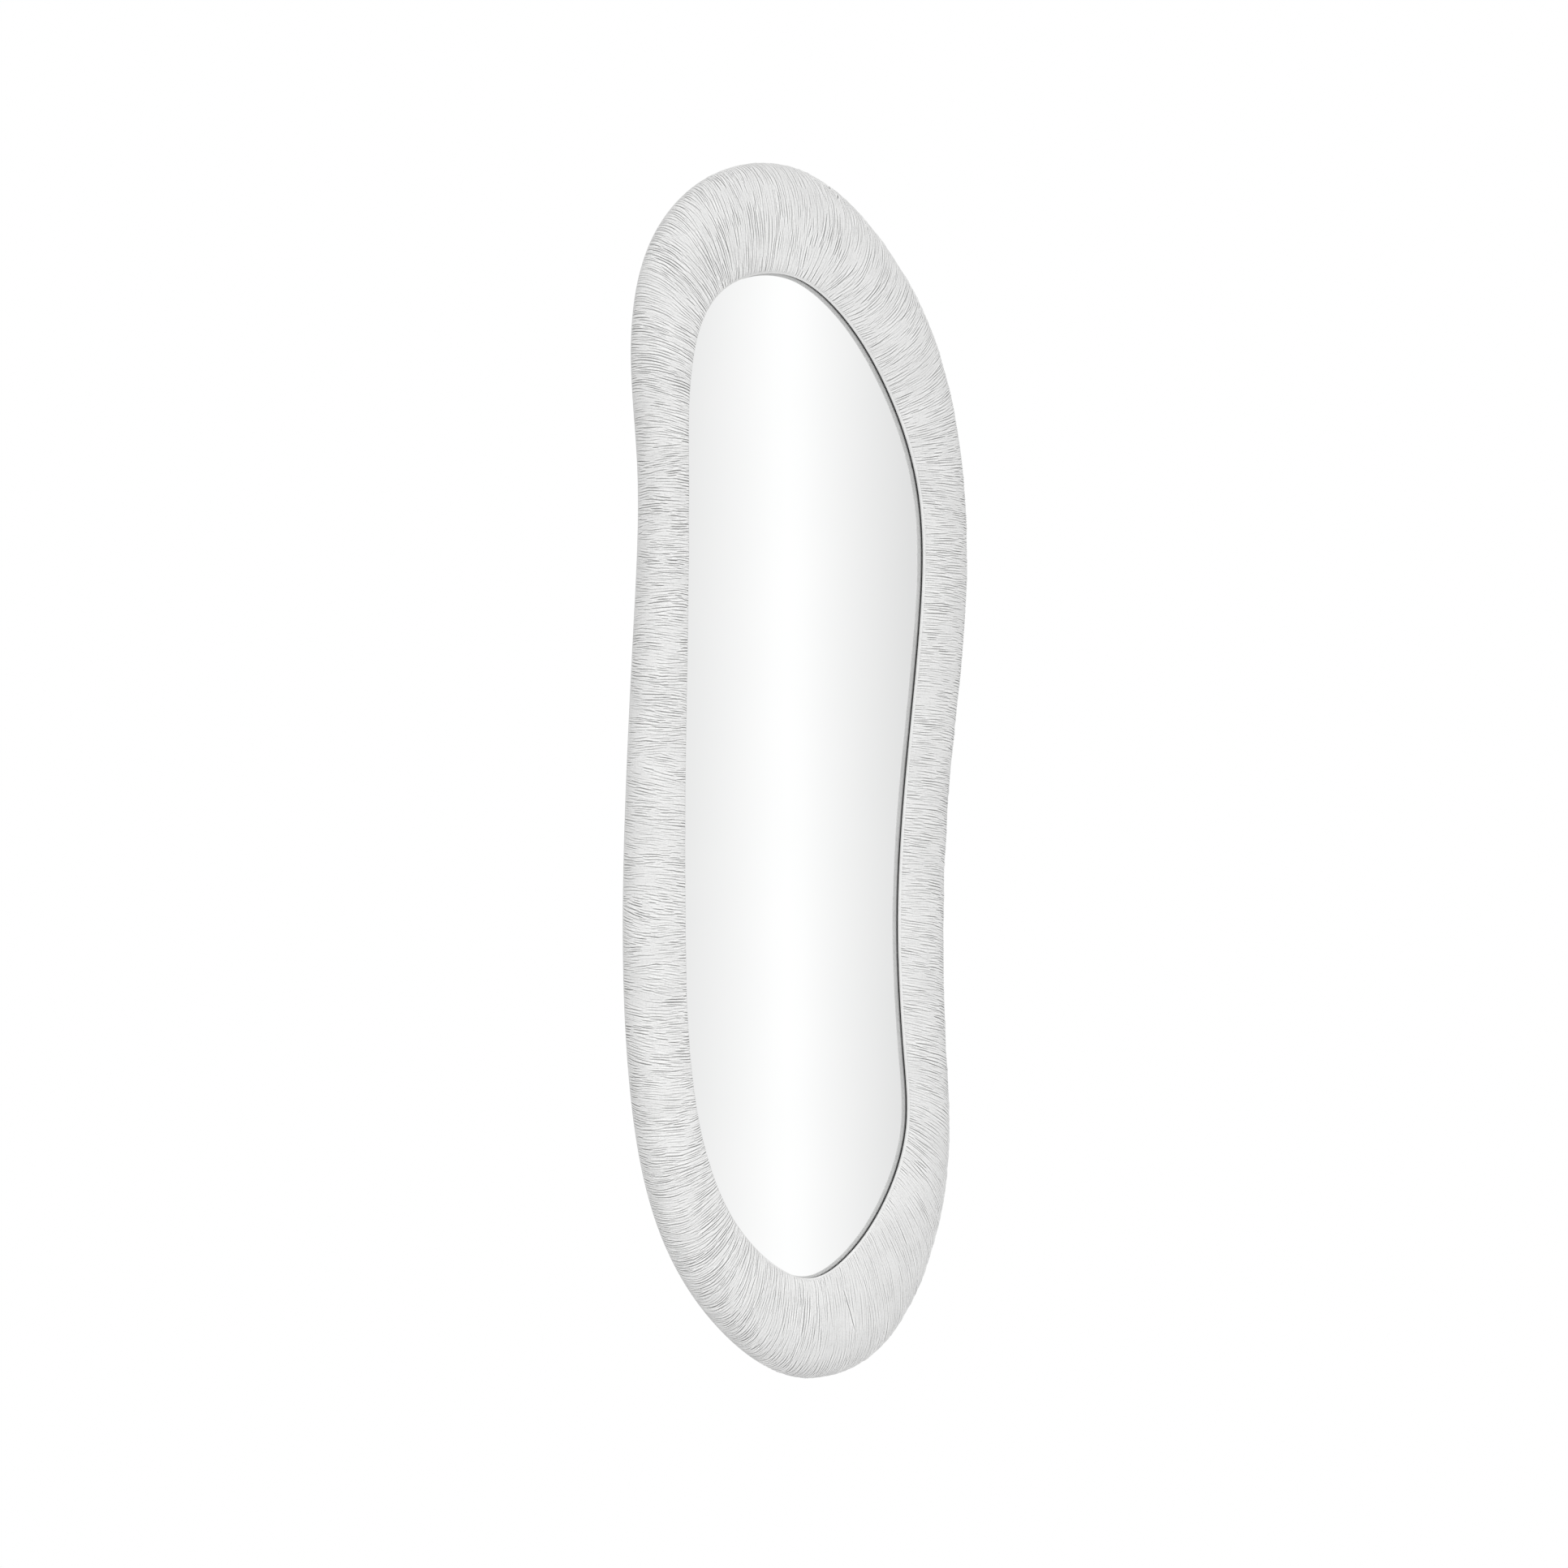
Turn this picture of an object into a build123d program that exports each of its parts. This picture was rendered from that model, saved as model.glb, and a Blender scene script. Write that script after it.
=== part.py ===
from build123d import *
import math
import os

# Full-length pebble-shaped wall mirror: a cast plaster shell over a plywood subframe, hung on a
# pair of interlocking aluminium rails. Millimetres, +Z up, and the viewer stands on the -Y side.
# The origin lies on the wall, midway between the wall rail's screw holes.
# "Depth" is the distance from the wall towards the viewer, so a point at depth d has y = -d.

FORWARD = (0, -1, 0)

# ---- rails, as depths from the wall and heights from the wall screws ----
RAIL_THICKNESS = 3.0
RAIL_CLEARANCE = 0.3
RAIL_OFFSET = 6.4
RAIL_CORNER = 0.5
LEG_BOTTOM = -15.0
LEG_TOP = 15.0
FLANGE_HEIGHT = 15.0
WALL_RAIL_LENGTH = 300.0
FRAME_RAIL_LENGTH = 320.0
WALL_HOLE_X = (-128.0, -48.0, 48.0, 128.0)
WALL_HOLE_RADIUS = 2.75
FRAME_SCREW_X = (-140.0, -50.0, 50.0, 140.0)

WALL_WEB_TOP = LEG_TOP + RAIL_THICKNESS
WALL_FLANGE_TOP = WALL_WEB_TOP + FLANGE_HEIGHT
WALL_FLANGE_FRONT = RAIL_OFFSET + RAIL_THICKNESS
FRAME_WEB_BOTTOM = WALL_FLANGE_TOP + RAIL_CLEARANCE
FRAME_LEG_BACK = WALL_FLANGE_FRONT + RAIL_CLEARANCE
FRAME_LEG_TOP = FRAME_WEB_BOTTOM + RAIL_THICKNESS + LEG_TOP - LEG_BOTTOM
FRAME_SCREW_Z = FRAME_WEB_BOTTOM + RAIL_THICKNESS + LEG_TOP

# ---- layers of the mirror, as depths from the wall ----
BACK = FRAME_LEG_BACK + RAIL_THICKNESS
SHELL_THICKNESS = 50.0
PANEL_FRONT = BACK + 3.0
PLY = 18.0
PLY_FRONT = PANEL_FRONT + PLY
LAP_DEPTH = PANEL_FRONT + PLY / 2
FOAM_FRONT = PLY_FRONT + 3.0
BACKER_FRONT = FOAM_FRONT + 5.0
MASTIC_FRONT = BACKER_FRONT + 1.5
GLASS_FRONT = MASTIC_FRONT + 4.0
GASKET_FRONT = GLASS_FRONT + 2.6

# ---- outline, about the mirror's own centre ----
CROSSBAR_Z = (360.0, -360.0)
CENTRE_Z = FRAME_SCREW_Z - CROSSBAR_Z[0]

# The rim's edges along its limbs: (height, outer left, inner left, inner right, outer right).
LIMBS = (
    (440, -275, -215, 185, 295),
    (220, -280, -216, 190, 294),
    (0, -292, -220, 165, 268),
    (-220, -298, -220, 150, 255),
    (-440, -288, -208, 162, 260),
)
# Ribs over the top, from left to right: (x, z) at the opening, then at the outer edge.
TOP_RIBS = (
    ((-210, 570), (-285, 590)),
    ((-165, 685), (-250, 765)),
    ((-105, 720), (-140, 875)),
    ((-35, 725), (-15, 898)),
    ((35, 690), (130, 820)),
    ((125, 585), (240, 668)),
)
# Ribs under the bottom, from right to left.
BOTTOM_RIBS = (
    ((165, -540), (265, -570)),
    ((120, -655), (215, -780)),
    ((60, -720), (125, -885)),
    ((-5, -747), (10, -905)),
    ((-70, -720), (-125, -828)),
    ((-150, -630), (-235, -670)),
)
LEFT_RIBS = [((inner, z), (outer, z)) for z, outer, inner, _, _ in reversed(LIMBS)]
RIGHT_RIBS = [((inner, z), (outer, z)) for z, _, _, inner, outer in LIMBS]
RIBS = (*LEFT_RIBS, *TOP_RIBS, *RIGHT_RIBS, *BOTTOM_RIBS)

# Cross-section of the rim: (share of the rib's length out from the opening, height off the back).
DOME = ((1.0, 0), (0.99, 10), (0.94, 22), (0.84, 33), (0.71, 41), (0.55, 46.5), (0.39, 49.2), (0.25, 50))
MOUTH = ((0.0, 42.5), (0.008, 44.6), (0.025, 46.8), (0.06, 48.5), (0.12, 49.7), (0.2, 50.2))
LIP_UNDERCUT = 2.6
HOLLOW = ((0.94, 21), (0.87, 30), (0.76, 38), (0.62, 42))
SHELL_WALL = 8.0
POCKET_GROW = 12.0
WEB_THICKNESS = 8.0
BOSS_RADIUS = 8.0
BOSS_SHARE = 0.56
PANEL_SCREW_SHARE = 0.62

# Outlines of the flat pieces: (share, extra length along each rib).
GLASS_EDGE = (0, 10.0)
SUBFRAME_OUTER = (0.94, -5.0)
SUBFRAME_INNER = (0, 1.0)
PANEL_EDGE = (0.94, -5.5)

# ---- subframe joints, about the mirror's own centre ----
JOINT_Z = (500.0, 70.0, -500.0)
DOWEL_RADIUS = 4.0
DOWEL_LENGTH = 50.0
CROSSBAR_HALF_HEIGHT = 50.0
CROSSBAR_GAP = 0.2
LAP_GROW = 33.0
LAP_SCREW_GROW = 17.0
LAP_SCREW_RISE = 28.0

BUMPER_X = (-150.0, 90.0)
BUMPER_RADIUS = 15.0
BUMPER_TIP_RADIUS = 13.0
BUMPER_WELL_RADIUS = 5.5
BUMPER_FLOOR = 5.0


def at_depth(depth):
    """Drawing plane parallel to the wall: x to the right, z up, normal towards the viewer."""
    return Plane.XZ.offset(depth)


def rib_point(rib, share, grow=0.0):
    """Point along a rib: a share of its length out from the opening, plus grow millimetres."""
    (inner_x, inner_z), (outer_x, outer_z) = rib
    reach = share + grow / math.dist(*rib)
    x = inner_x + reach * (outer_x - inner_x)
    z = inner_z + reach * (outer_z - inner_z)
    return x, z + CENTRE_Z


def outline(share, grow, depth):
    """Closed smooth face through the same point of every rib, at one depth."""
    points = [rib_point(rib, share, grow) for rib in RIBS]
    return at_depth(depth) * make_face(Spline(*points, periodic=True))


def slab(edge, near, far):
    """Flat sheet with a rim-shaped edge, between two depths."""
    return extrude(outline(*edge, near), far - near, dir=FORWARD)


def layered(sections):
    """Smooth body through rim outlines stacked off the back of the shell."""
    return loft([outline(share, grow, BACK + rise) for share, grow, rise in sections])


def block(x_range, z_range, depth_range):
    """Box between low and high x, z about the mirror's centre, and depth."""
    width = x_range[1] - x_range[0]
    height = z_range[1] - z_range[0]
    depth = depth_range[1] - depth_range[0]
    x = sum(x_range) / 2
    y = -sum(depth_range) / 2
    z = sum(z_range) / 2 + CENTRE_Z
    return Pos(x, y, z) * Box(width, depth, height)


def placed(shape, x, z, depth):
    """Move a shape drawn along +Z so that it points towards the viewer from (x, z, depth)."""
    return at_depth(depth) * Pos(x, z, 0) * shape


def shank(radius, length):
    """Screw shank with a pointed end, starting at the origin."""
    point = 2 * radius
    base = (Align.CENTER, Align.CENTER, Align.MIN)
    straight = Cylinder(radius, length - point, align=base)
    return straight + Pos(0, 0, length - point) * Cone(radius, 0.2 * radius, point, align=base)


def cross_recess(radius):
    """Cross-shaped driver recess, sunk from the plane z = 0."""
    base = (Align.CENTER, Align.CENTER, Align.MIN)
    slot = Box(1.1 * radius, 0.3 * radius, 0.45 * radius, align=base)
    return slot + Rot(0, 0, 90) * slot


def countersunk_blank(radius, length):
    """Countersunk screw without its recess; it is also the room it fills in the wood."""
    base = (Align.CENTER, Align.CENTER, Align.MIN)
    head = Cone(2 * radius, radius, 1.2 * radius, align=base)
    return head + shank(radius, length)


def countersunk_screw(radius, length):
    """Countersunk screw, head flush with z = 0, pointing along +Z."""
    return countersunk_blank(radius, length) - cross_recess(2 * radius)


def pan_screw(radius, length):
    """Pan-head screw: the head sits behind z = 0 and the shank points along +Z."""
    head_height = 1.1 * radius
    head = Cylinder(2 * radius, head_height, align=(Align.CENTER, Align.CENTER, Align.MAX))
    head = fillet(head.edges().group_by(Axis.Z)[0], 0.6 * head_height)
    recess = Pos(0, 0, -head_height) * cross_recess(2 * radius)
    return head + shank(radius, length) - recess


def group(shapes):
    """Separate solids kept together as one node."""
    return Compound(children=[solid for shape in shapes for solid in shape.solids()])


def limb_span(z, side):
    """Low and high x of the subframe's left or right limb at a height about the centre."""
    half = (-400, 0) if side == "left" else (0, 400)
    ring = slab(SUBFRAME_OUTER, PANEL_FRONT, PLY_FRONT) - slab(SUBFRAME_INNER, PANEL_FRONT, PLY_FRONT)
    box = (ring & block(half, (z - 0.5, z + 0.5), (PANEL_FRONT, PLY_FRONT))).bounding_box()
    return box.min.X, box.max.X


# ---- fastener positions ----

def boss_points():
    """Centres of the shell's screw bosses, on every second rib."""
    return [rib_point(rib, BOSS_SHARE) for rib in RIBS[::2]]


def panel_screw_points():
    """Screws around the back panel, on the ribs between the bosses."""
    return [rib_point(rib, PANEL_SCREW_SHARE) for rib in RIBS[1::2]]


def lap_screw_points():
    """Two screws through each lapped end of the crossbars."""
    points = []
    for z in CROSSBAR_Z:
        for side in ("left", "right"):
            low, high = limb_span(z, side)
            x = high - LAP_SCREW_GROW if side == "left" else low + LAP_SCREW_GROW
            points += [(x, z + rise + CENTRE_Z) for rise in (-LAP_SCREW_RISE, LAP_SCREW_RISE)]
    return points


def dowel_places():
    """Two dowels across every joint of the subframe: (x, z) of each dowel's middle."""
    places = []
    for z in JOINT_Z:
        for side in ("left", "right"):
            low, high = limb_span(z, side)
            middle = (low + high) / 2
            spread = 0.24 * (high - low)
            places += [(middle - spread, z + CENTRE_Z), (middle + spread, z + CENTRE_Z)]
    return places


def frame_rail_screw_points():
    return [(x, FRAME_SCREW_Z) for x in FRAME_SCREW_X]


def bumper_points():
    return [(x, CROSSBAR_Z[1] + CENTRE_Z) for x in BUMPER_X]


# ---- the screws: (points, radius, length, depth of the head's seat) ----
BOSS_SCREW = (2.0, 30.0)
PANEL_SCREW = (1.75, 15.0)
LAP_SCREW = (2.0, 16.0)
RAIL_SCREW = (2.1, 20.0)
BUMPER_SCREW = (2.1, 20.0)


def countersunk_set(points, size, depth):
    return [placed(countersunk_screw(*size), x, z, depth) for x, z in points]


def countersunk_rooms(points, size, depth):
    return [placed(countersunk_blank(*size), x, z, depth) for x, z in points]


def pan_set(points, size, depth):
    return [placed(pan_screw(*size), x, z, depth) for x, z in points]


def shank_rooms(points, size, depth):
    return [placed(shank(*size), x, z, depth) for x, z in points]


def dowels():
    bar = Cylinder(DOWEL_RADIUS, DOWEL_LENGTH)
    bar = chamfer(bar.edges(), 1.0)
    return [Pos(x, -LAP_DEPTH, z) * bar for x, z in dowel_places()]


# ---- the shell ----

def frame_shell():
    """Hollow cast rim: domed outside, a lip over the glass, and bosses for the subframe screws."""
    body = layered([(share, 0, rise) for share, rise in DOME])
    body -= slab((0, 0), BACK, BACK + SHELL_THICKNESS + 1)
    body -= layered([(share, 0, rise) for share, rise in MOUTH])
    body -= layered([(0, LIP_UNDERCUT, GASKET_FRONT - BACK), (0, 0, MOUTH[0][1])])
    body -= slab(SUBFRAME_OUTER, BACK, PLY_FRONT)
    body -= slab((0, POCKET_GROW), PLY_FRONT, GASKET_FRONT)
    hollow = layered([(share, -SHELL_WALL, rise) for share, rise in HOLLOW])
    hollow -= slab((0, POCKET_GROW + WEB_THICKNESS), PLY_FRONT - 1, BACK + SHELL_THICKNESS)
    base = (Align.CENTER, Align.CENTER, Align.MIN)
    boss = Cylinder(BOSS_RADIUS, SHELL_THICKNESS, align=base)
    hollow -= [placed(boss, x, z, PLY_FRONT - 1) for x, z in boss_points()]
    body -= hollow
    return body - shank_rooms(boss_points(), BOSS_SCREW, PANEL_FRONT)


# ---- glass and its bedding ----

def mirror_glass():
    return slab(GLASS_EDGE, MASTIC_FRONT, GLASS_FRONT)


def lip_gasket():
    """Black foam gasket between the glass and the lip, set back so that it leaves a shadow gap."""
    return slab((0, 11.0), GLASS_FRONT, GASKET_FRONT) - slab((0, 4.0), GLASS_FRONT, GASKET_FRONT)


def glass_backer():
    return slab(GLASS_EDGE, FOAM_FRONT, BACKER_FRONT)


def mastic_beads():
    """Upright beads of mirror mastic, three columns by three rows."""
    bead = SlotOverall(320, 14, rotation=90)
    beads = []
    for x in (-140, -35, 70):
        for z in (-420, 0, 420):
            face = at_depth(BACKER_FRONT) * Pos(x, z + CENTRE_Z, 0) * bead
            beads.append(extrude(face, MASTIC_FRONT - BACKER_FRONT, dir=FORWARD))
    return group(beads)


def pressure_foam():
    """Foam strip that presses the glass pack against the lip, and one strip on each crossbar."""
    ring = slab((0, 11.0), PLY_FRONT, FOAM_FRONT) - slab((0, 3.0), PLY_FRONT, FOAM_FRONT)
    inside = slab((0, -6.0), PLY_FRONT, FOAM_FRONT)
    strips = [
        inside & block((-400, 400), (z - 10, z + 10), (PLY_FRONT, FOAM_FRONT)) for z in CROSSBAR_Z
    ]
    return group([ring, *strips])


# ---- plywood subframe ----

def crossbar(z, rooms):
    """Plywood bar behind the glass, half-lapped into both limbs of the subframe."""
    height = (z - CROSSBAR_HALF_HEIGHT, z + CROSSBAR_HALF_HEIGHT)
    bar = block((-400, 400), height, (PANEL_FRONT, PLY_FRONT))
    bar &= slab((0, SUBFRAME_INNER[1] - CROSSBAR_GAP), PANEL_FRONT, PLY_FRONT)
    return bar + lap(z) - rooms


def lap(z):
    """The rear half of a crossbar, long enough to lie in both limbs."""
    height = (z - CROSSBAR_HALF_HEIGHT, z + CROSSBAR_HALF_HEIGHT)
    strip = block((-400, 400), height, (PANEL_FRONT, LAP_DEPTH))
    return strip & slab((0, LAP_GROW), PANEL_FRONT, LAP_DEPTH)


def subframe_segments(rooms):
    """The plywood ring, cut into six pieces that are dowelled end to end."""
    ring = slab(SUBFRAME_OUTER, PANEL_FRONT, PLY_FRONT) - slab(SUBFRAME_INNER, PANEL_FRONT, PLY_FRONT)
    for z in CROSSBAR_Z:
        ring -= lap(z)
    ring -= rooms
    top, middle, bottom = JOINT_Z
    cuts = {
        "subframe_top": ((-400, 400), (top, 1000)),
        "subframe_upper_left": ((-400, 0), (middle, top)),
        "subframe_upper_right": ((0, 400), (middle, top)),
        "subframe_lower_left": ((-400, 0), (bottom, middle)),
        "subframe_lower_right": ((0, 400), (bottom, middle)),
        "subframe_bottom": ((-400, 400), (-1000, bottom)),
    }
    depths = (PANEL_FRONT, PLY_FRONT)
    return {name: ring & block(x, z, depths) for name, (x, z) in cuts.items()}


# ---- back panel, rails and bumpers ----

def back_panel(rooms):
    return slab(PANEL_EDGE, BACK, PANEL_FRONT) - rooms


def rail(points, length):
    """Z-shaped extrusion: points are (depth, z) around the profile."""
    corners = [(-depth, z) for depth, z in points]
    profile = make_face(Polyline(*corners, close=True))
    profile = fillet(profile.vertices(), RAIL_CORNER)
    return extrude(Plane.YZ.offset(-length / 2) * profile, length)


def wall_rail():
    """Rail that is screwed to the wall; its flange points up."""
    points = [
        (0, LEG_BOTTOM),
        (RAIL_THICKNESS, LEG_BOTTOM),
        (RAIL_THICKNESS, LEG_TOP),
        (WALL_FLANGE_FRONT, LEG_TOP),
        (WALL_FLANGE_FRONT, WALL_FLANGE_TOP),
        (RAIL_OFFSET, WALL_FLANGE_TOP),
        (RAIL_OFFSET, WALL_WEB_TOP),
        (0, WALL_WEB_TOP),
    ]
    hole = Cylinder(WALL_HOLE_RADIUS, 3 * RAIL_THICKNESS)
    return rail(points, WALL_RAIL_LENGTH) - [placed(hole, x, 0, 0) for x in WALL_HOLE_X]


def frame_rail():
    """The same rail upside down on the mirror's back; its flange hooks behind the wall rail's."""
    flange_back = RAIL_OFFSET - RAIL_CLEARANCE - RAIL_THICKNESS
    flange_front = RAIL_OFFSET - RAIL_CLEARANCE
    web_top = FRAME_WEB_BOTTOM + RAIL_THICKNESS
    points = [
        (BACK, FRAME_WEB_BOTTOM),
        (BACK, FRAME_LEG_TOP),
        (FRAME_LEG_BACK, FRAME_LEG_TOP),
        (FRAME_LEG_BACK, web_top),
        (flange_back, web_top),
        (flange_back, WALL_WEB_TOP + RAIL_CLEARANCE),
        (flange_front, WALL_WEB_TOP + RAIL_CLEARANCE),
        (flange_front, FRAME_WEB_BOTTOM),
    ]
    rooms = shank_rooms(frame_rail_screw_points(), RAIL_SCREW, FRAME_LEG_BACK)
    return rail(points, FRAME_RAIL_LENGTH) - rooms


def wall_bumpers():
    """Rubber spacers that keep the lower half of the mirror parallel to the wall."""
    base = (Align.CENTER, Align.CENTER, Align.MIN)
    body = Cone(BUMPER_TIP_RADIUS, BUMPER_RADIUS, BACK, align=base)
    well = Cylinder(BUMPER_WELL_RADIUS, BACK - BUMPER_FLOOR, align=base)
    hole = Cylinder(BUMPER_SCREW[0], BACK, align=base)
    bumper = body - well - hole
    return group([placed(bumper, x, z, 0) for x, z in bumper_points()])


def make_parts():
    """Every node's shape by name."""
    boss_rooms = countersunk_rooms(boss_points(), BOSS_SCREW, PANEL_FRONT)
    lap_rooms = countersunk_rooms(lap_screw_points(), LAP_SCREW, PANEL_FRONT)
    panel_rooms = countersunk_rooms(panel_screw_points(), PANEL_SCREW, BACK)
    rail_rooms = shank_rooms(frame_rail_screw_points(), RAIL_SCREW, FRAME_LEG_BACK)
    bumper_rooms = shank_rooms(bumper_points(), BUMPER_SCREW, BACK - BUMPER_FLOOR)
    wooden = [*boss_rooms, *lap_rooms, *panel_rooms, *dowels()]

    parts = {
        "wall_rail": wall_rail(),
        "frame_rail": frame_rail(),
        "frame_shell": frame_shell(),
        "mirror_glass": mirror_glass(),
        "lip_gasket": lip_gasket(),
        "mastic_beads": mastic_beads(),
        "glass_backer": glass_backer(),
        "pressure_foam": pressure_foam(),
        "crossbar_upper": crossbar(CROSSBAR_Z[0], [*lap_rooms, *rail_rooms]),
        "crossbar_lower": crossbar(CROSSBAR_Z[1], [*lap_rooms, *bumper_rooms]),
        "subframe_dowels": group(dowels()),
        "subframe_screws": group(countersunk_set(boss_points(), BOSS_SCREW, PANEL_FRONT)),
        "crossbar_screws": group(countersunk_set(lap_screw_points(), LAP_SCREW, PANEL_FRONT)),
        "back_panel": back_panel([*panel_rooms, *rail_rooms, *bumper_rooms]),
        "back_panel_screws": group(countersunk_set(panel_screw_points(), PANEL_SCREW, BACK)),
        "frame_rail_screws": group(pan_set(frame_rail_screw_points(), RAIL_SCREW, FRAME_LEG_BACK)),
        "wall_bumpers": wall_bumpers(),
        "bumper_screws": group(pan_set(bumper_points(), BUMPER_SCREW, BACK - BUMPER_FLOOR)),
    }
    parts.update(subframe_segments(wooden))
    return parts


os.makedirs("parts", exist_ok=True)
for name, shape in make_parts().items():
    shape.label = name
    export_step(shape, f"parts/{name}.step")
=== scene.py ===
import math

import bpy
import numpy as np
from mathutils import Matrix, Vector


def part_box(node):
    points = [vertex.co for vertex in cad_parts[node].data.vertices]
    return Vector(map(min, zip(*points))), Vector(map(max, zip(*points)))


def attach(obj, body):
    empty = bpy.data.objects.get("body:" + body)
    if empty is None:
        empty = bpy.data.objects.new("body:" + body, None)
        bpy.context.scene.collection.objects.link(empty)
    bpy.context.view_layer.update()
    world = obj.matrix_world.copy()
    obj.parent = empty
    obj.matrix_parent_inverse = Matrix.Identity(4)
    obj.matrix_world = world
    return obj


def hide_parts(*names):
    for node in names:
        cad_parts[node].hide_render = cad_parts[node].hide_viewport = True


# The looks of a full-length pebble mirror. Metres in the row frame: the wall is y = 0, the
# viewer is at -Y, +Z is up. The combed plaster rim is rebuilt here as a closed ring mesh; every
# other piece is the CAD node with a procedural material.

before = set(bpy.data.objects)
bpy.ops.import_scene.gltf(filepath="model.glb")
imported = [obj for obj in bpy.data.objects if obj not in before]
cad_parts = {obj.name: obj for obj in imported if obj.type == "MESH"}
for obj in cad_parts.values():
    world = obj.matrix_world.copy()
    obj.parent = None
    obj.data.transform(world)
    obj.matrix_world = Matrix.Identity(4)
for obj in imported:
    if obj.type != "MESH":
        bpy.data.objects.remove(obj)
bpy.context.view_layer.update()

MM = 0.001
SEED = 1807


# ---- places read from the frame ----

def middle_z(node):
    low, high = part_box(node)
    return (low.z + high.z) / 2


CENTRE_Z = (middle_z("crossbar_upper") + middle_z("crossbar_lower")) / 2
BACK_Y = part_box("back_panel")[1].y
SUBFRAME_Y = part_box("subframe_top")[0].y
LIP_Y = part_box("lip_gasket")[0].y


def rise_of(y):
    """Height off the back of the rim, in millimetres."""
    return (BACK_Y - y) / MM


def above_centre(points):
    """Height over the middle of the mirror, in millimetres."""
    return points[..., 2] - CENTRE_Z / MM


# ---- the rim's outline and cross-section, in millimetres ----

# The rim's edges along its limbs: (height, outer left, inner left, inner right, outer right).
LIMBS = (
    (440, -275, -215, 185, 295),
    (220, -280, -216, 190, 294),
    (0, -292, -220, 165, 268),
    (-220, -298, -220, 150, 255),
    (-440, -288, -208, 162, 260),
)
# Ribs over the top, from left to right: (x, z) at the opening, then at the outer edge.
TOP_RIBS = (
    ((-210, 570), (-285, 590)),
    ((-165, 685), (-250, 765)),
    ((-105, 720), (-140, 875)),
    ((-35, 725), (-15, 898)),
    ((35, 690), (130, 820)),
    ((125, 585), (240, 668)),
)
# Ribs under the bottom, from right to left.
BOTTOM_RIBS = (
    ((165, -540), (265, -570)),
    ((120, -655), (215, -780)),
    ((60, -720), (125, -885)),
    ((-5, -747), (10, -905)),
    ((-70, -720), (-125, -828)),
    ((-150, -630), (-235, -670)),
)
LEFT_RIBS = [((inner, z), (outer, z)) for z, outer, inner, _, _ in reversed(LIMBS)]
RIGHT_RIBS = [((inner, z), (outer, z)) for z, _, _, inner, outer in LIMBS]
RIBS = np.array((*LEFT_RIBS, *TOP_RIBS, *RIGHT_RIBS, *BOTTOM_RIBS), float)

# Visible skin from the lip's lower edge, over the crown and down the outer side:
# (share of the rib's length out from the opening, extra length along the rib, height off the back).
SKIN = (
    (0.0, 2.6, rise_of(LIP_Y)),
    (0.0, 1.6, 39.0),
    (0.0, 0.4, 41.0),
    (0.0, 0.0, 42.5),
    (0.008, 0.0, 44.6),
    (0.025, 0.0, 46.8),
    (0.06, 0.0, 48.5),
    (0.12, 0.0, 49.6),
    (0.2, 0.0, 50.0),
    (0.3, 0.0, 49.8),
    (0.39, 0.0, 49.2),
    (0.55, 0.0, 46.5),
    (0.71, 0.0, 41.0),
    (0.84, 0.0, 33.0),
    (0.94, 0.0, 22.0),
    (0.99, 0.0, 10.0),
    (1.0, 0.0, 0.0),
)
# Hidden underside, back to the lip: (share, extra length along the rib, height off the back).
UNDERSIDE = (
    (0.94, -5.0, 0.0),
    (0.94, -5.0, rise_of(SUBFRAME_Y)),
    (0.0, 12.0, rise_of(SUBFRAME_Y)),
    (0.0, 12.0, rise_of(LIP_Y)),
)
TYPICAL_WIDTH = 95.0  # length of rib that the skin's rows are spaced for
LIP_WALL = 8.8  # length of skin on the lip's wall, which the comb doesn't reach and the plaster paints full white as painted light
COLUMN_STEP = 0.6  # spacing of the mesh's columns along the middle of the rim
SKIN_ROWS = 120


def along_skin(points, count):
    """Points spaced evenly along a smooth curve through the given ones."""
    points = np.array(points, float)
    scaled = points * (TYPICAL_WIDTH, 1.0, 1.0)
    knots = np.r_[0, np.cumsum(np.linalg.norm(np.diff(scaled, axis=0), axis=1))]
    slopes = np.gradient(points, knots, axis=0)
    places = np.linspace(0, knots[-1], count)
    span = np.clip(np.searchsorted(knots, places, side="right") - 1, 0, len(knots) - 2)
    width = knots[span + 1] - knots[span]
    t = ((places - knots[span]) / width)[:, None]
    width = width[:, None]
    return (
        (2 * t**3 - 3 * t**2 + 1) * points[span]
        + (t**3 - 2 * t**2 + t) * width * slopes[span]
        + (3 * t**2 - 2 * t**3) * points[span + 1]
        + (t**3 - t**2) * width * slopes[span + 1]
    )


def stations():
    """The rib before each column of the mesh, and how far the column is towards the next one."""
    middle = RIBS.mean(axis=1)
    lengths = np.linalg.norm(np.roll(middle, -1, axis=0) - middle, axis=1)
    counts = np.round(lengths / COLUMN_STEP).astype(int)
    rib = np.repeat(np.arange(len(RIBS)), counts)
    part = np.concatenate([np.arange(n) / n for n in counts])
    return rib, part


def closed_spline(points, rib, part):
    """Periodic cubic spline through the points, with knots spaced by their distances."""
    after = np.roll(points, -1, axis=0)
    gap = np.linalg.norm(after - points, axis=1)
    gap_before = np.roll(gap, 1)
    system = np.diag(2 * (gap + gap_before))
    order = np.arange(len(points))
    system[order, (order + 1) % len(points)] += gap
    system[order, order - 1] += gap_before
    slope = (after - points) / gap[:, None]
    curve = np.linalg.solve(system, 6 * (slope - np.roll(slope, 1, axis=0)))
    b = part[:, None]
    a = 1 - b
    h = gap[rib][:, None]
    following = (rib + 1) % len(points)
    bend = (a**3 - a) * curve[rib] + (b**3 - b) * curve[following]
    return a * points[rib] + b * points[following] + bend * h**2 / 6


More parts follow.
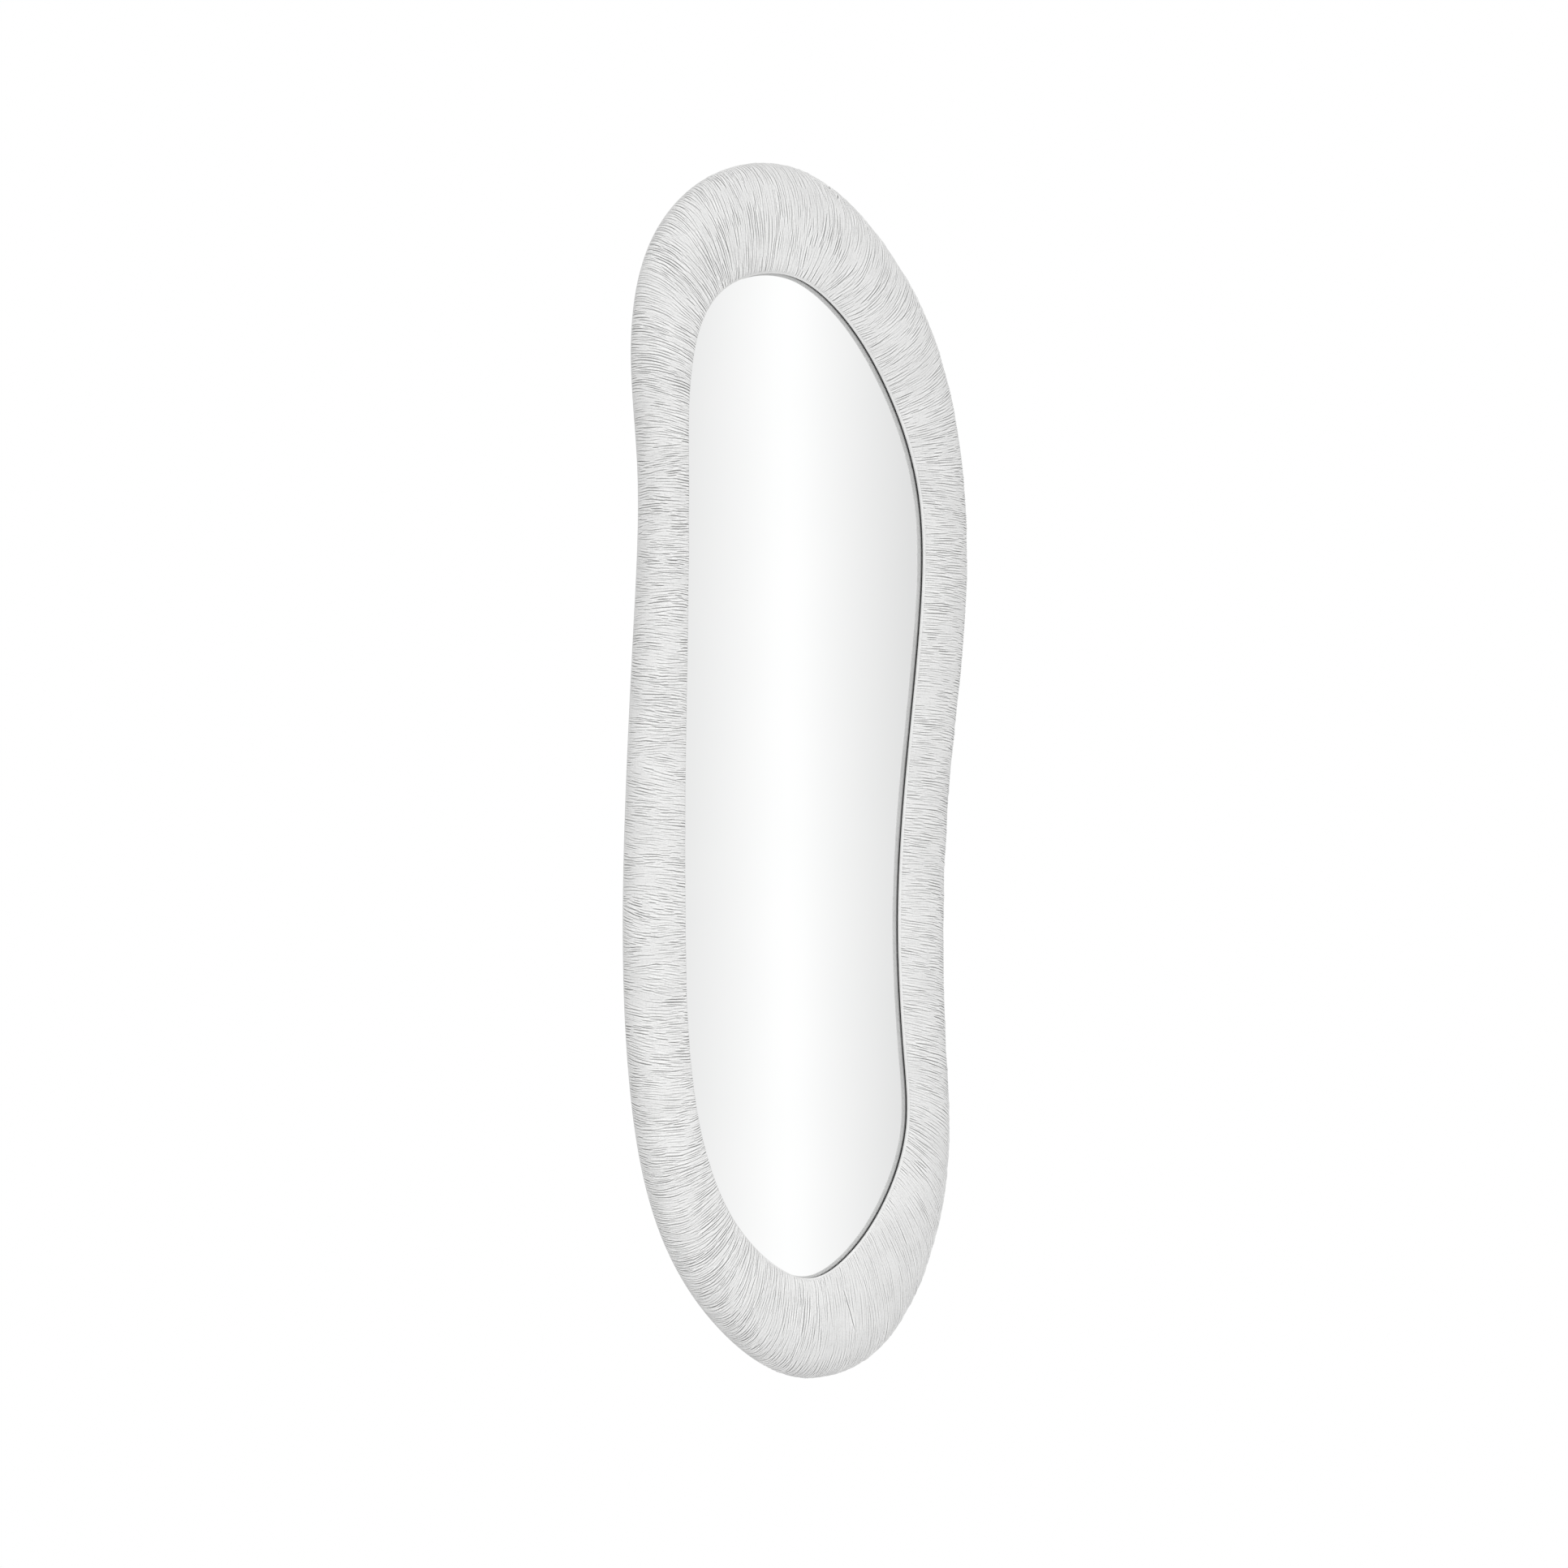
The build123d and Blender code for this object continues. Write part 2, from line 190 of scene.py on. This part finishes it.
def rim_row(share, grow, rise, rib, part):
    """One closed line of the rim, in millimetres in the row frame."""
    inner, outer = RIBS[:, 0], RIBS[:, 1]
    length = np.linalg.norm(outer - inner, axis=1)[:, None]
    line = closed_spline(inner + (share + grow / length) * (outer - inner), rib, part)
    depth = np.full(len(line), BACK_Y / MM - rise)
    return np.column_stack([line[:, 0], depth, line[:, 1] + CENTRE_Z / MM])


# ---- the combed surface, in millimetres ----

# How far the comb leans round the rim, clockwise, for each millimetre outwards:
# (angle round the rim in degrees, lean at the opening, lean at the outer edge).
LEANS = (
    (0, 0.05, 0.25),
    (30, 0.0, -0.05),
    (55, 0.15, -0.5),
    (75, 0.5, -1.1),
    (95, 0.2, -0.6),
    (120, 0.3, -0.1),
    (135, 0.12, -0.05),
    (148, -0.03, 0.0),
    (165, 0.03, 0.03),
    (180, 0.1, 0.1),
    (205, 0.05, 0.1),
    (216, -0.02, 0.2),
    (228, -0.25, 0.3),
    (245, -0.6, 0.4),
    (270, 0.0, 0.45),
    (295, 0.05, 0.5),
    (320, 0.2, 0.6),
    (340, 0.05, 0.3),
    (360, 0.05, 0.25),
)
# How hard the comb is pressed round the rim: (angle round the rim in degrees, pressure).
PRESSURES = (
    (0, 1.0),
    (95, 1.0),
    (125, 1.35),
    (155, 1.1),
    (180, 1.0),
    (215, 1.15),
    (238, 1.45),
    (258, 1.0),
    (275, 0.5),
    (300, 0.5),
    (330, 0.95),
    (360, 1.0),
)
# Single marks: a long scratch under the opening and a knot of two dents near the top edge, as
# (angle round the rim in degrees, share of the way out, length, lean, width, depth).
MARKS = (
    (282, 0.38, 70.0, -0.07, 0.75, 1.2),
    (82, 0.91, 17.0, 0.1, 1.8, 1.2),
    (80, 0.84, 11.0, 0.1, 1.4, 0.9),
)
SLENDERNESS = 3.0  # angles round the rim are taken after its height is divided by this
FINE_SCRATCHES = 24000
BAND_WIDTH = 19.0  # the comb's passes lie in bands this wide
PASS_SPACING = 12.0
DEEPEST = 1.3  # no groove is deeper than this
LIP_PAINTED_WHITE = -0.3  # groove depth stored on the lip's wall, so the plaster paints it full white: painted light
# A groove's cross-section, in groove widths: how far it reaches, and the burr pushed up beside it.
GROOVE_REACH = 3.2
BURR_PLACE = 1.9
BURR_HEIGHT = 0.5


def fade(value, start, end):
    """0 up to the start, 1 from the end, and an even slope between them."""
    return np.clip((value - start) / (end - start), 0, 1)


def waves(points, length, count, rng):
    """Smooth random field, mostly from -1 to 1, with features about this long."""
    field = np.zeros(points.shape[:-1])
    for _ in range(count):
        direction = rng.normal(size=3)
        direction /= np.linalg.norm(direction)
        pitch = length * rng.uniform(0.7, 1.5)
        field += np.sin(points @ direction * 2 * math.pi / pitch + rng.uniform(0, 2 * math.pi))
    return field / math.sqrt(count)


def round_angle(points):
    """Degrees round the rim, anticlockwise from its right-hand side, on a squashed circle."""
    return np.degrees(np.arctan2(above_centre(points) / SLENDERNESS, points[..., 0])) % 360


class Skin:
    """The grid of the rim's visible skin: rows run round the rim, columns across it."""

    def __init__(self, points):
        self.points = points
        self.rows, self.columns = points.shape[:2]
        self.angle = round_angle(points)
        round_rim = (np.roll(points, -1, axis=1) - np.roll(points, 1, axis=1)) / 2
        across = np.gradient(points, axis=0)
        self.pitch = np.linalg.norm(round_rim, axis=2)
        step = np.linalg.norm(across, axis=2)
        self.across = np.cumsum(step, axis=0) - step
        self.width = self.across[-1]
        self.share = self.across / self.width
        normal = np.cross(round_rim, across)
        normal /= np.linalg.norm(normal, axis=2)[..., None]
        crown = self.rows // 4
        faces_wall = np.sign(normal[crown, :, 1].mean())
        self.normal = -faces_wall * normal
        area = self.pitch * step
        self.chance = np.cumsum(area.ravel()) / area.sum()

    def pick(self, rng, count):
        """Random places spread evenly over the area: rows and columns of the cells."""
        cells = np.searchsorted(self.chance, rng.uniform(size=count))
        return np.unravel_index(np.minimum(cells, self.chance.size - 1), self.pitch.shape)

    def nearest(self, angle, share):
        """The cell at an angle round the rim and a share of the way out."""
        miss = np.abs(self.angle - angle) + 100 * np.abs(self.share - share)
        return np.unravel_index(np.argmin(miss), miss.shape)


def flow(skin):
    """The comb's lean at each point of the skin, and the bend of its path per millimetre."""
    angles, inner, outer = zip(*LEANS)
    inner = np.interp(skin.angle, angles, inner)
    change = np.interp(skin.angle, angles, outer) - inner
    return inner + change * skin.share**1.5, 1.5 * change * np.sqrt(skin.share) / skin.width


def scratch(relief, skin, place, length, lean, sway, width, depth):
    """Adds one groove with a raised burr at both sides, tapering out at its ends."""
    row, column = place
    middle = skin.across[row, column]
    along = skin.across[:, column] - middle
    rows = np.nonzero(np.abs(along) < length / 2)[0]
    if len(rows) < 2:
        return
    along = along[rows]
    pitch = skin.pitch[rows, column]
    slope, bend = lean
    swing, wave, phase = sway
    path = (slope * along + bend * along**2 / 2 + swing * np.sin(along / wave + phase)) / pitch
    reach = GROOVE_REACH * width / pitch.min()
    columns = np.arange(math.floor(path.min() - reach), math.ceil(path.max() + reach) + 1)
    offset = (columns[None, :] - path[:, None]) * pitch[:, None] / width
    burr = BURR_HEIGHT * np.exp(-((np.abs(offset) - BURR_PLACE) ** 2))
    taper = np.sqrt(np.clip(1 - (2 * along / length) ** 2, 0, 1))[:, None]
    cells = np.ix_(rows, (column + columns) % skin.columns)
    relief[cells] += depth * taper * (burr - np.exp(-(offset**2)))


def fine_scratch(relief, skin, place, rng, lean, strength, stretch):
    """One short, shallow groove."""
    slope, bend, wander = lean
    length = stretch * rng.uniform(9, 30)
    slope = slope + rng.normal(0, wander)
    sway = (rng.uniform(0, 0.5), rng.uniform(4, 10), rng.uniform(0, 2 * math.pi))
    width = rng.uniform(0.38, 0.6)
    depth = strength * rng.uniform(0.03, 0.2)
    scratch(relief, skin, place, length, (slope, bend), sway, width, depth)


def comb_pass(relief, skin, place, rng, lean, strength, stretch):
    """A few grooves side by side that share one path."""
    row, column = place
    slope, bend, wander = lean
    length = stretch * rng.uniform(16, 40)
    teeth = rng.integers(2, 6)
    gap = rng.uniform(3.2, 4.8)
    sway = (wander * rng.uniform(3, 10), rng.uniform(6, 13), rng.uniform(0, 2 * math.pi))
    for tooth in range(teeth):
        aside = (tooth - (teeth - 1) / 2) * gap + rng.normal(0, 0.4)
        shift = int(aside / skin.pitch[row, column])
        start = int(np.clip(row + rng.normal(0, 4), 0, skin.rows - 1))
        cell = (start, (column + shift) % skin.columns)
        tooth_length = length * rng.uniform(0.5, 1.2)
        tooth_slope = slope + rng.normal(0, 0.02)
        width = rng.uniform(0.55, 0.85)
        depth = strength * rng.uniform(0.1, 0.95)
        scratch(relief, skin, cell, tooth_length, (tooth_slope, bend), sway, width, depth)


def comb_passes(skin, rng):
    """Places of the comb's passes, in bands across the rim that are staggered like bricks."""
    bands = round(skin.width.mean() / BAND_WIDTH)
    for band in range(bands):
        row = (band + 0.5) / bands * skin.rows
        round_rim = np.cumsum(skin.pitch[int(row)])
        count = int(round_rim[-1] / PASS_SPACING)
        spots = np.arange(count) + band / 2 + rng.uniform(-0.4, 0.4, count)
        columns = np.searchsorted(round_rim, spots % count / count * round_rim[-1]) % skin.columns
        rows = row + rng.uniform(-0.5, 0.5, count) * skin.rows / bands
        yield from zip(np.clip(rows, 0, skin.rows - 1).astype(int), columns)


def comb_strength(skin, left, rng):
    """How deep the grooves go: by region and in patches, deeper near the outer edge, and beside
    the lip on the left."""
    angles, pressures = zip(*PRESSURES)
    pressure = np.interp(skin.angle, angles, pressures)
    by_lip = np.exp(-(((skin.across - 16) / 8) ** 2))
    by_edge = fade(skin.share, 0.7, 0.9)
    under = fade(-above_centre(skin.points), 300, 600)
    patches = np.clip(0.9 + 0.4 * waves(skin.points, 45, 16, rng), 0.3, 1.6)
    return patches * (pressure + 0.5 * left * by_lip + (1 - left + 0.8 * under) * by_edge)


def combed_relief(skin, rng):
    """Height of the combed grooves over the skin, in millimetres."""
    relief = np.zeros((skin.rows, skin.columns))
    left = 1 / (1 + np.exp(skin.points[..., 0] / 60))
    ends = fade(np.abs(above_centre(skin.points)), 450, 700)
    wander = 0.03 + 0.06 * left * (1 - 0.5 * ends)
    slope, bend = flow(skin)
    slope = slope + wander * waves(skin.points, 60, 14, rng)
    strength = comb_strength(skin, left, rng)
    fine_stretch = 1 + 0.8 * ends
    pass_stretch = 1 + 0.5 * ends + 0.3 * (1 - left)
    for place in zip(*skin.pick(rng, FINE_SCRATCHES)):
        lean = (slope[place], bend[place], wander[place])
        fine_scratch(relief, skin, place, rng, lean, strength[place], fine_stretch[place])
    for place in comb_passes(skin, rng):
        lean = (slope[place], bend[place], wander[place])
        comb_pass(relief, skin, place, rng, lean, strength[place], pass_stretch[place])
    straight = (0, 1, 0)
    for angle, share, length, slant, width, depth in MARKS:
        place = skin.nearest(angle, share)
        scratch(relief, skin, place, length, (slant, 0), straight, width, depth)
    return DEEPEST * np.tanh(relief / DEEPEST)


def lip_fade(skin):
    """0 on the lip's wall and on the back edge, 1 where the comb reaches its full depth."""
    from_lip = fade(skin.across, LIP_WALL, LIP_WALL + 2.5)
    from_back = fade(skin.width - skin.across, 0, 3)
    return from_lip * from_lip * (3 - 2 * from_lip) * from_back


def lumps(skin, rng):
    """Gentle unevenness of the cast surface, fading out at both edges of the skin."""
    height = 0.3 * waves(skin.points, 80, 12, rng) + 0.12 * waves(skin.points, 24, 14, rng)
    return height * fade(skin.across, 3, 15) * fade(skin.width - skin.across, 0, 4)


def ring_faces(rows, columns):
    """Quads between neighbouring rows, with the last row joined to the first."""
    row = np.arange(rows)[:, None]
    column = np.arange(columns)[None, :]
    row_after = (row + 1) % rows
    column_after = (column + 1) % columns
    corners = (
        row * columns + column,
        row_after * columns + column,
        row_after * columns + column_after,
        row * columns + column_after,
    )
    return np.stack([np.broadcast_to(c, (rows, columns)) for c in corners], axis=-1).reshape(-1, 4)


def grid_mesh(name, points, quads, smooth):
    """A mesh of quads, with a smooth or flat mark for each."""
    mesh = bpy.data.meshes.new(name)
    mesh.vertices.add(len(points))
    mesh.vertices.foreach_set("co", points.astype(np.float32).ravel())
    mesh.loops.add(quads.size)
    mesh.loops.foreach_set("vertex_index", quads.astype(np.int32).ravel())
    mesh.polygons.add(len(quads))
    mesh.polygons.foreach_set("loop_start", np.arange(0, quads.size, 4, dtype=np.int32))
    mesh.polygons.foreach_set("use_smooth", smooth)
    mesh.update(calc_edges=True)
    return mesh


def store_groove_depth(mesh, skin, relief):
    """Keeps each point's groove depth for the plaster's painted shade, and on the lip's wall a
    value that paints it full white as painted light.
    """
    depth = np.zeros(len(mesh.vertices), np.float32)
    # On the lip's wall the stored value is not a groove depth: it paints the wall full white as
    # painted light.
    depth[:relief.size] = np.where(skin.across < LIP_WALL, LIP_PAINTED_WHITE, -relief).ravel()
    mesh.attributes.new("groove", "FLOAT", "POINT").data.foreach_set("value", depth)


def plaster_rim(material):
    """The cast rim as one closed ring, with its combed grooves as real relief."""
    rng = np.random.default_rng(SEED)
    rib, part = stations()
    top = np.array([rim_row(*place, rib, part) for place in along_skin(SKIN, SKIN_ROWS)])
    skin = Skin(top)
    relief = combed_relief(skin, rng) * lip_fade(skin)
    top = top + skin.normal * (relief + lumps(skin, rng))[..., None]
    under = np.array([rim_row(*place, rib, part) for place in UNDERSIDE])
    points = np.concatenate([top, under]).reshape(-1, 3) * MM

    rows = SKIN_ROWS + len(UNDERSIDE)
    smooth = np.repeat(np.arange(rows) < SKIN_ROWS - 1, skin.columns)
    mesh = grid_mesh("plaster_rim", points, ring_faces(rows, skin.columns), smooth)
    store_groove_depth(mesh, skin, relief)
    mesh.materials.append(material)
    piece = bpy.data.objects.new("plaster_rim", mesh)
    bpy.context.scene.collection.objects.link(piece)
    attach(piece, "mirror")
    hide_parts("frame_shell")


# ---- shader nodes ----

class Nodes:
    """A node tree with short calls. Values are sockets or plain numbers and colours."""

    def __init__(self, tree):
        self.tree = tree

    def add(self, kind, **settings):
        node = self.tree.nodes.new(kind)
        for name, value in settings.items():
            setattr(node, name, value)
        return node

    def feed(self, socket, value):
        if isinstance(value, bpy.types.NodeSocket):
            self.tree.links.new(value, socket)
        else:
            socket.default_value = value

    def ramp(self, value, stops):
        """Colours along a value: (position, colour) pairs."""
        node = self.add("ShaderNodeValToRGB")
        elements = node.color_ramp.elements
        while len(elements) < len(stops):
            elements.new(0.5)
        for element, (position, colour) in zip(elements, stops):
            element.position = position
            element.color = (*colour, 1)
        self.feed(node.inputs["Fac"], value)
        return node.outputs["Color"]

    def remap(self, value, old, new):
        """A value in the old range moved to the new one, and held inside it."""
        node = self.add("ShaderNodeMapRange")
        for name, limit in zip(("From Min", "From Max", "To Min", "To Max"), (*old, *new)):
            node.inputs[name].default_value = limit
        self.feed(node.inputs["Value"], value)
        return node.outputs["Result"]


def grey(value):
    return (value, value, value)


# ---- materials ----

class Graph(Nodes):
    """A material's node tree."""

    def __init__(self, name):
        self.material = bpy.data.materials.new(name)
        self.material.use_nodes = True
        super().__init__(self.material.node_tree)
        self.surface = self.tree.nodes["Principled BSDF"]
        self.place = self.add("ShaderNodeTexCoord").outputs["Object"]

    def noise(self, scale, detail, stretch=(1, 1, 1)):
        """Noise from 0 to 1; scale is in cells per metre, and stretch squeezes it per axis."""
        mapping = self.add("ShaderNodeMapping")
        mapping.inputs["Scale"].default_value = stretch
        self.feed(mapping.inputs["Vector"], self.place)
        texture = self.add("ShaderNodeTexNoise")
        texture.inputs["Scale"].default_value = scale
        texture.inputs["Detail"].default_value = detail
        self.feed(texture.inputs["Vector"], mapping.outputs["Vector"])
        return texture.outputs["Fac"]

    def multiply(self, first, second):
        node = self.add("ShaderNodeMix", data_type="RGBA", blend_type="MULTIPLY")
        node.inputs["Factor"].default_value = 1.0
        self.feed(node.inputs["A"], first)
        self.feed(node.inputs["B"], second)
        return node.outputs["Result"]

    def bump(self, height, strength, distance):
        """Adds a bump of this height in metres on top of any earlier ones."""
        node = self.add("ShaderNodeBump")
        node.inputs["Strength"].default_value = strength
        node.inputs["Distance"].default_value = distance
        self.feed(node.inputs["Height"], height)
        normal = self.surface.inputs["Normal"]
        if normal.is_linked:
            self.feed(node.inputs["Normal"], normal.links[0].from_socket)
        self.feed(normal, node.outputs["Normal"])

    def finish(self, colour, roughness, metallic=0.0):
        self.feed(self.surface.inputs["Base Color"], colour)
        self.feed(self.surface.inputs["Roughness"], roughness)
        self.surface.inputs["Metallic"].default_value = metallic
        return self.material


def plaster():
    """Matt white plaster, with painted shade: grey in the depths of its grooves, painted highlights
    on the burrs beside them and painted white light on the lip's wall.
    """
    graph = Graph("combed_plaster")
    groove = graph.add("ShaderNodeAttribute", attribute_name="groove").outputs["Fac"]
    # The ramp paints light and shade from the groove depth: painted shade down in the grooves,
    # painted highlight on the burrs and full white on the lip's wall.
    depth = graph.remap(groove, (-0.25, 0.8), (0, 1))
    painted_light_and_shade_stops = ((0.0, grey(1.0)), (0.24, grey(0.86)), (0.48, grey(0.58)), (1.0, grey(0.3)))
    painted_light_and_shade = graph.ramp(depth, painted_light_and_shade_stops)
    cloud = graph.ramp(graph.noise(22, 5), ((0.3, (0.92, 0.92, 0.915)), (0.7, (0.99, 0.99, 0.985))))
    fleck = graph.ramp(graph.noise(420, 3), ((0.34, grey(0.9)), (0.5, grey(1.0))))
    colour = graph.multiply(graph.multiply(cloud, painted_light_and_shade), fleck)
    graph.bump(graph.noise(260, 6), 0.35, 0.0005)
    graph.bump(graph.noise(1100, 3), 0.25, 0.0002)
    graph.surface.inputs["Specular IOR Level"].default_value = 0.25
    return graph.finish(colour, graph.remap(graph.noise(90, 4), (0, 1), (0.75, 0.95)))


def silvered_glass():
    """Front of the glass as one polished metal surface."""
    graph = Graph("silvered_glass")
    tints = ((0.3, (0.945, 0.95, 0.948)), (0.7, (0.955, 0.958, 0.957)))
    colour = graph.ramp(graph.noise(6, 2), tints)
    return graph.finish(colour, graph.remap(graph.noise(30, 3), (0, 1), (0.0, 0.004)), metallic=1.0)


def foam(name, level):
    graph = Graph(name)
    cells = graph.noise(1500, 2)
    colour = graph.ramp(cells, ((0.35, grey(level * 0.6)), (0.65, grey(level * 1.3))))
    graph.bump(cells, 0.5, 0.0003)
    return graph.finish(colour, graph.remap(graph.noise(400, 2), (0, 1), (0.85, 1.0)))


def mastic():
    graph = Graph("mastic")
    colour = graph.ramp(graph.noise(80, 3), ((0.3, (0.7, 0.69, 0.65)), (0.7, (0.78, 0.77, 0.73))))
    graph.bump(graph.noise(120, 2), 0.4, 0.0006)
    return graph.finish(colour, graph.remap(graph.noise(50, 2), (0, 1), (0.35, 0.5)))


def board(name, dark, light, fibre):
    """Pressed fibre or sawn wood: streaks stretched along z, with speckle over them."""
    graph = Graph(name)
    streaks = graph.ramp(graph.noise(fibre, 6, (1, 1, 0.08)), ((0.25, dark), (0.75, light)))
    speckle = graph.ramp(graph.noise(700, 4), ((0.3, grey(0.78)), (0.6, grey(1.0))))
    graph.bump(graph.noise(fibre * 3, 5, (1, 1, 0.15)), 0.3, 0.0004)
    roughness = graph.remap(graph.noise(60, 3), (0, 1), (0.55, 0.8))
    return graph.finish(graph.multiply(streaks, speckle), roughness)


def metal(name, level, tint, stretch):
    """Bare metal with drawing or plating marks along the stretched axis."""
    graph = Graph(name)
    lines = graph.noise(600, 5, stretch)
    low = tuple(level * 0.88 * t for t in tint)
    high = tuple(level * 1.05 * t for t in tint)
    graph.bump(lines, 0.12, 0.0002)
    colour = graph.ramp(lines, ((0.3, low), (0.7, high)))
    return graph.finish(colour, graph.remap(lines, (0, 1), (0.25, 0.42)), metallic=1.0)


def paint(material, *nodes):
    for node in nodes:
        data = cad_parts[node].data
        data.materials.clear()
        data.materials.append(material)


def paint_cad_nodes():
    names = list(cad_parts)
    screws = [name for name in names if name.endswith("screws")]
    wooden = [name for name in names if name.startswith(("subframe_", "crossbar_"))]
    plywood = [name for name in wooden if not name.endswith(("dowels", "screws"))]
    paint(silvered_glass(), "mirror_glass")
    paint(foam("black_foam", 0.05), "lip_gasket", "pressure_foam")
    paint(foam("bumper_rubber", 0.06), "wall_bumpers")
    paint(mastic(), "mastic_beads")
    paint(board("fibreboard", (0.42, 0.3, 0.19), (0.62, 0.48, 0.33), 120), "glass_backer")
    paint(board("hardboard", (0.2, 0.115, 0.06), (0.36, 0.23, 0.13), 160), "back_panel")
    paint(board("beech", (0.55, 0.36, 0.2), (0.75, 0.55, 0.36), 140), "subframe_dowels")
    paint(board("plywood", (0.55, 0.4, 0.24), (0.78, 0.62, 0.42), 90), *plywood)
    paint(metal("rail_aluminium", 0.74, (1, 1, 1.01), (0.03, 1, 1)), "wall_rail", "frame_rail")
    paint(metal("zinc_steel", 0.68, (1, 0.99, 0.96), (1, 1, 1)), *screws)


# ---- studio ----

VIEW_ANGLE = -32  # degrees from square-on, positive to the right
CAMERA_DISTANCE = 3.306
FOCAL_LENGTH = 51.08  # millimetres
AIM = Vector((-0.0277, BACK_Y, CENTRE_Z - 0.0183))  # what the camera and the lights face
# Round lights: (name, angle from square-on, angle upwards, distance, diameter, power), in
# degrees, metres and watts.
LIGHTS = (
    ("key", -12, 48, 3.0, 1.0, 6),
    ("low", -12, -18, 3.2, 2.6, 26),
    ("side", -85, 0, 3.5, 2.0, 16),
    ("back", 160, 30, 3.5, 2.5, 30),
)
# The bright strip: its direction, and its level at degrees either side of that.
STRIP_ANGLE = 32.1
STRIP_REACH = 12.0
STRIP = (
    (-12.0, 0.72),
    (-6.0, 0.68),
    (-2.5, 0.83),
    (-0.4, 0.985),
    (0.0, 1.0),
    (0.4, 0.985),
    (3.2, 0.745),
    (6.5, 0.66),
    (12.0, 0.72),
)
SILVERING = 0.95  # share of the light that the glass throws back
# Light of the room from every side, and how it grows towards the viewer and towards the top.
ROOM_LEVEL = 0.58
ROOM_TILT = (0.0, -0.2, 0.22)


def towards(angle, lift=0):
    """Unit vector from the mirror: degrees from square-on, positive to the right, and upwards."""
    angle = math.radians(angle)
    lift = math.radians(lift)
    level = math.cos(lift)
    return Vector((math.sin(angle) * level, -math.cos(angle) * level, math.sin(lift)))


def add_camera():
    data = bpy.data.cameras.new("camera")
    data.lens = FOCAL_LENGTH
    camera = bpy.data.objects.new("camera", data)
    bpy.context.scene.collection.objects.link(camera)
    way = towards(VIEW_ANGLE)
    camera.location = AIM + CAMERA_DISTANCE * way
    camera.rotation_euler = way.to_track_quat("Z", "Y").to_euler()
    bpy.context.scene.camera = camera


def add_light(name, angle, lift, distance, diameter, power):
    data = bpy.data.lights.new(name, "AREA")
    data.shape = "DISK"
    data.size = diameter
    data.energy = power
    light = bpy.data.objects.new(name, data)
    bpy.context.scene.collection.objects.link(light)
    way = towards(angle, lift)
    light.location = AIM + distance * way
    light.rotation_euler = way.to_track_quat("Z", "Y").to_euler()
    light.visible_glossy = False


class Studio(Nodes):
    """The world's node tree."""

    def maths(self, operation, first, second):
        node = self.add("ShaderNodeMath", operation=operation)
        self.feed(node.inputs[0], first)
        self.feed(node.inputs[1], second)
        return node.outputs["Value"]

    def background(self, colour, strength):
        node = self.add("ShaderNodeBackground")
        self.feed(node.inputs["Color"], colour)
        self.feed(node.inputs["Strength"], strength)
        return node.outputs["Background"]

    def choose(self, test, no, yes):
        """The first shader where the test is 0, the second where it is 1."""
        node = self.add("ShaderNodeMixShader")
        for socket, value in zip(node.inputs, (test, no, yes)):
            self.feed(socket, value)
        return node.outputs["Shader"]


def add_world():
    """White studio with one upright soft strip of light, seen in the glass as a pale band."""
    world = bpy.data.worlds.new("studio")
    world.use_nodes = True
    world.node_tree.nodes.clear()
    studio = Studio(world.node_tree)
    way = studio.add("ShaderNodeTexCoord").outputs["Generated"]

    split = studio.add("ShaderNodeSeparateXYZ")
    studio.feed(split.inputs["Vector"], way)
    to_viewer = studio.maths("MULTIPLY", split.outputs["Y"], -1.0)
    angle = studio.maths("ARCTAN2", split.outputs["X"], to_viewer)
    limits = (math.radians(STRIP_ANGLE - STRIP_REACH), math.radians(STRIP_ANGLE + STRIP_REACH))
    stops = [(0.5 + degrees / (2 * STRIP_REACH), grey(level)) for degrees, level in STRIP]
    strip = studio.ramp(studio.remap(angle, limits, (0, 1)), stops)

    tilt = studio.add("ShaderNodeVectorMath", operation="DOT_PRODUCT")
    studio.feed(tilt.inputs[0], way)
    studio.feed(tilt.inputs[1], ROOM_TILT)
    brightness = studio.maths("ADD", tilt.outputs["Value"], ROOM_LEVEL)

    white = (1, 1, 1, 1)
    room = studio.background(white, brightness)
    reflected = studio.background(strip, 1.0 / SILVERING)
    backdrop = studio.background(white, 1.0)
    ray = studio.add("ShaderNodeLightPath").outputs
    lit = studio.choose(ray["Is Glossy Ray"], room, reflected)
    seen = studio.choose(ray["Is Camera Ray"], lit, backdrop)
    output = studio.add("ShaderNodeOutputWorld")
    studio.feed(output.inputs["Surface"], seen)
    bpy.context.scene.world = world


plaster_rim(plaster())
paint_cad_nodes()
add_world()
for light in LIGHTS:
    add_light(*light)
add_camera()
bpy.context.scene.view_settings.view_transform = "Standard"
